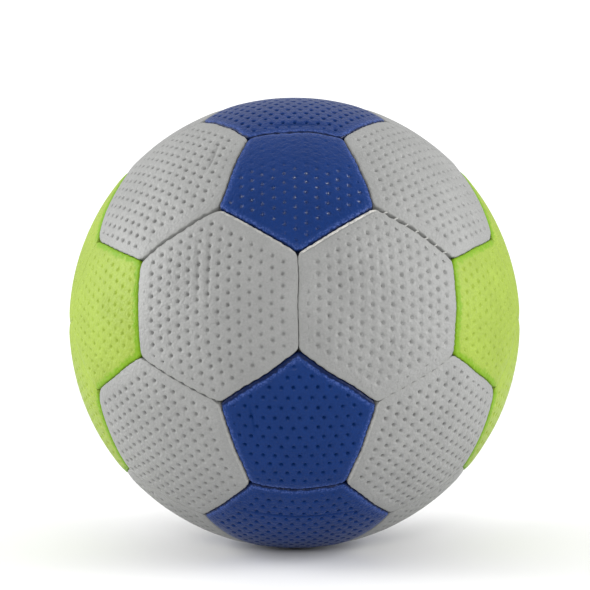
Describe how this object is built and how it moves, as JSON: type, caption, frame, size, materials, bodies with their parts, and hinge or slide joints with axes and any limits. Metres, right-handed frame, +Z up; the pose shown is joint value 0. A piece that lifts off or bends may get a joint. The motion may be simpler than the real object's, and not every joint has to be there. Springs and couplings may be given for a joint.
{
  "type": "handball",
  "caption": "Hand-stitched handball of dimpled hexagonal and pentagonal panels over foam and a rubber bladder, with a needle valve.",
  "frame": {"origin": "centre of the ball", "axes": "+Z up as the ball rests, -Y towards the viewer of the picture, +X to that viewer's right. The ball's left and right halves mirror each other across X = 0."},
  "size_m": [0.175, 0.175, 0.175],
  "materials": {
    "gray_skin": "matte synthetic leather with embossed dimples",
    "blue_skin": "matte synthetic leather with embossed dimples",
    "lime_skin": "matte synthetic leather with embossed dimples",
    "foam": "closed-cell foam",
    "lining_fabric": "woven polyester and cotton lining",
    "waxed_thread": "waxed polyester thread",
    "patch_rubber": "rubberised fabric",
    "bladder_rubber": "smooth butyl rubber",
    "valve_rubber": "smooth moulded rubber",
    "core_rubber": "smooth soft rubber"
  },
  "bodies": {
    "root": {"front_upper_pentagon": "blue_skin", "front_lower_pentagon": "blue_skin", "back_upper_pentagon": "blue_skin", "back_lower_pentagon": "blue_skin", "left_front_pentagon": "lime_skin", "left_back_pentagon": "lime_skin", "right_front_pentagon": "lime_skin", "right_back_pentagon": "lime_skin", "top_left_pentagon": "gray_skin", "top_right_pentagon": "gray_skin", "bottom_left_pentagon": "gray_skin", "bottom_right_pentagon": "gray_skin", "front_left_hexagon": "gray_skin", "front_right_hexagon": "gray_skin", "back_left_hexagon": "gray_skin", "back_right_hexagon": "gray_skin", "top_front_hexagon": "blue_skin", "top_back_hexagon": "blue_skin", "bottom_front_hexagon": "blue_skin", "bottom_back_hexagon": "blue_skin", "left_upper_hexagon": "lime_skin", "left_lower_hexagon": "lime_skin", "right_upper_hexagon": "lime_skin", "right_lower_hexagon": "lime_skin", "front_upper_left_hexagon": "gray_skin", "front_upper_right_hexagon": "gray_skin", "front_lower_left_hexagon": "gray_skin", "front_lower_right_hexagon": "gray_skin", "back_upper_left_hexagon": "gray_skin", "back_upper_right_hexagon": "gray_skin", "back_lower_left_hexagon": "gray_skin", "back_lower_right_hexagon": "gray_skin", "hexagon_foam_pads": "foam", "pentagon_foam_pads": "foam", "hexagon_linings": "lining_fabric", "pentagon_linings": "lining_fabric", "pentagon_seam_threads": "waxed_thread", "hexagon_seam_threads": "waxed_thread", "valve_patch": "patch_rubber", "bladder": "bladder_rubber", "valve_housing": "valve_rubber", "valve_core": "core_rubber"}
  },
  "joints": []
}
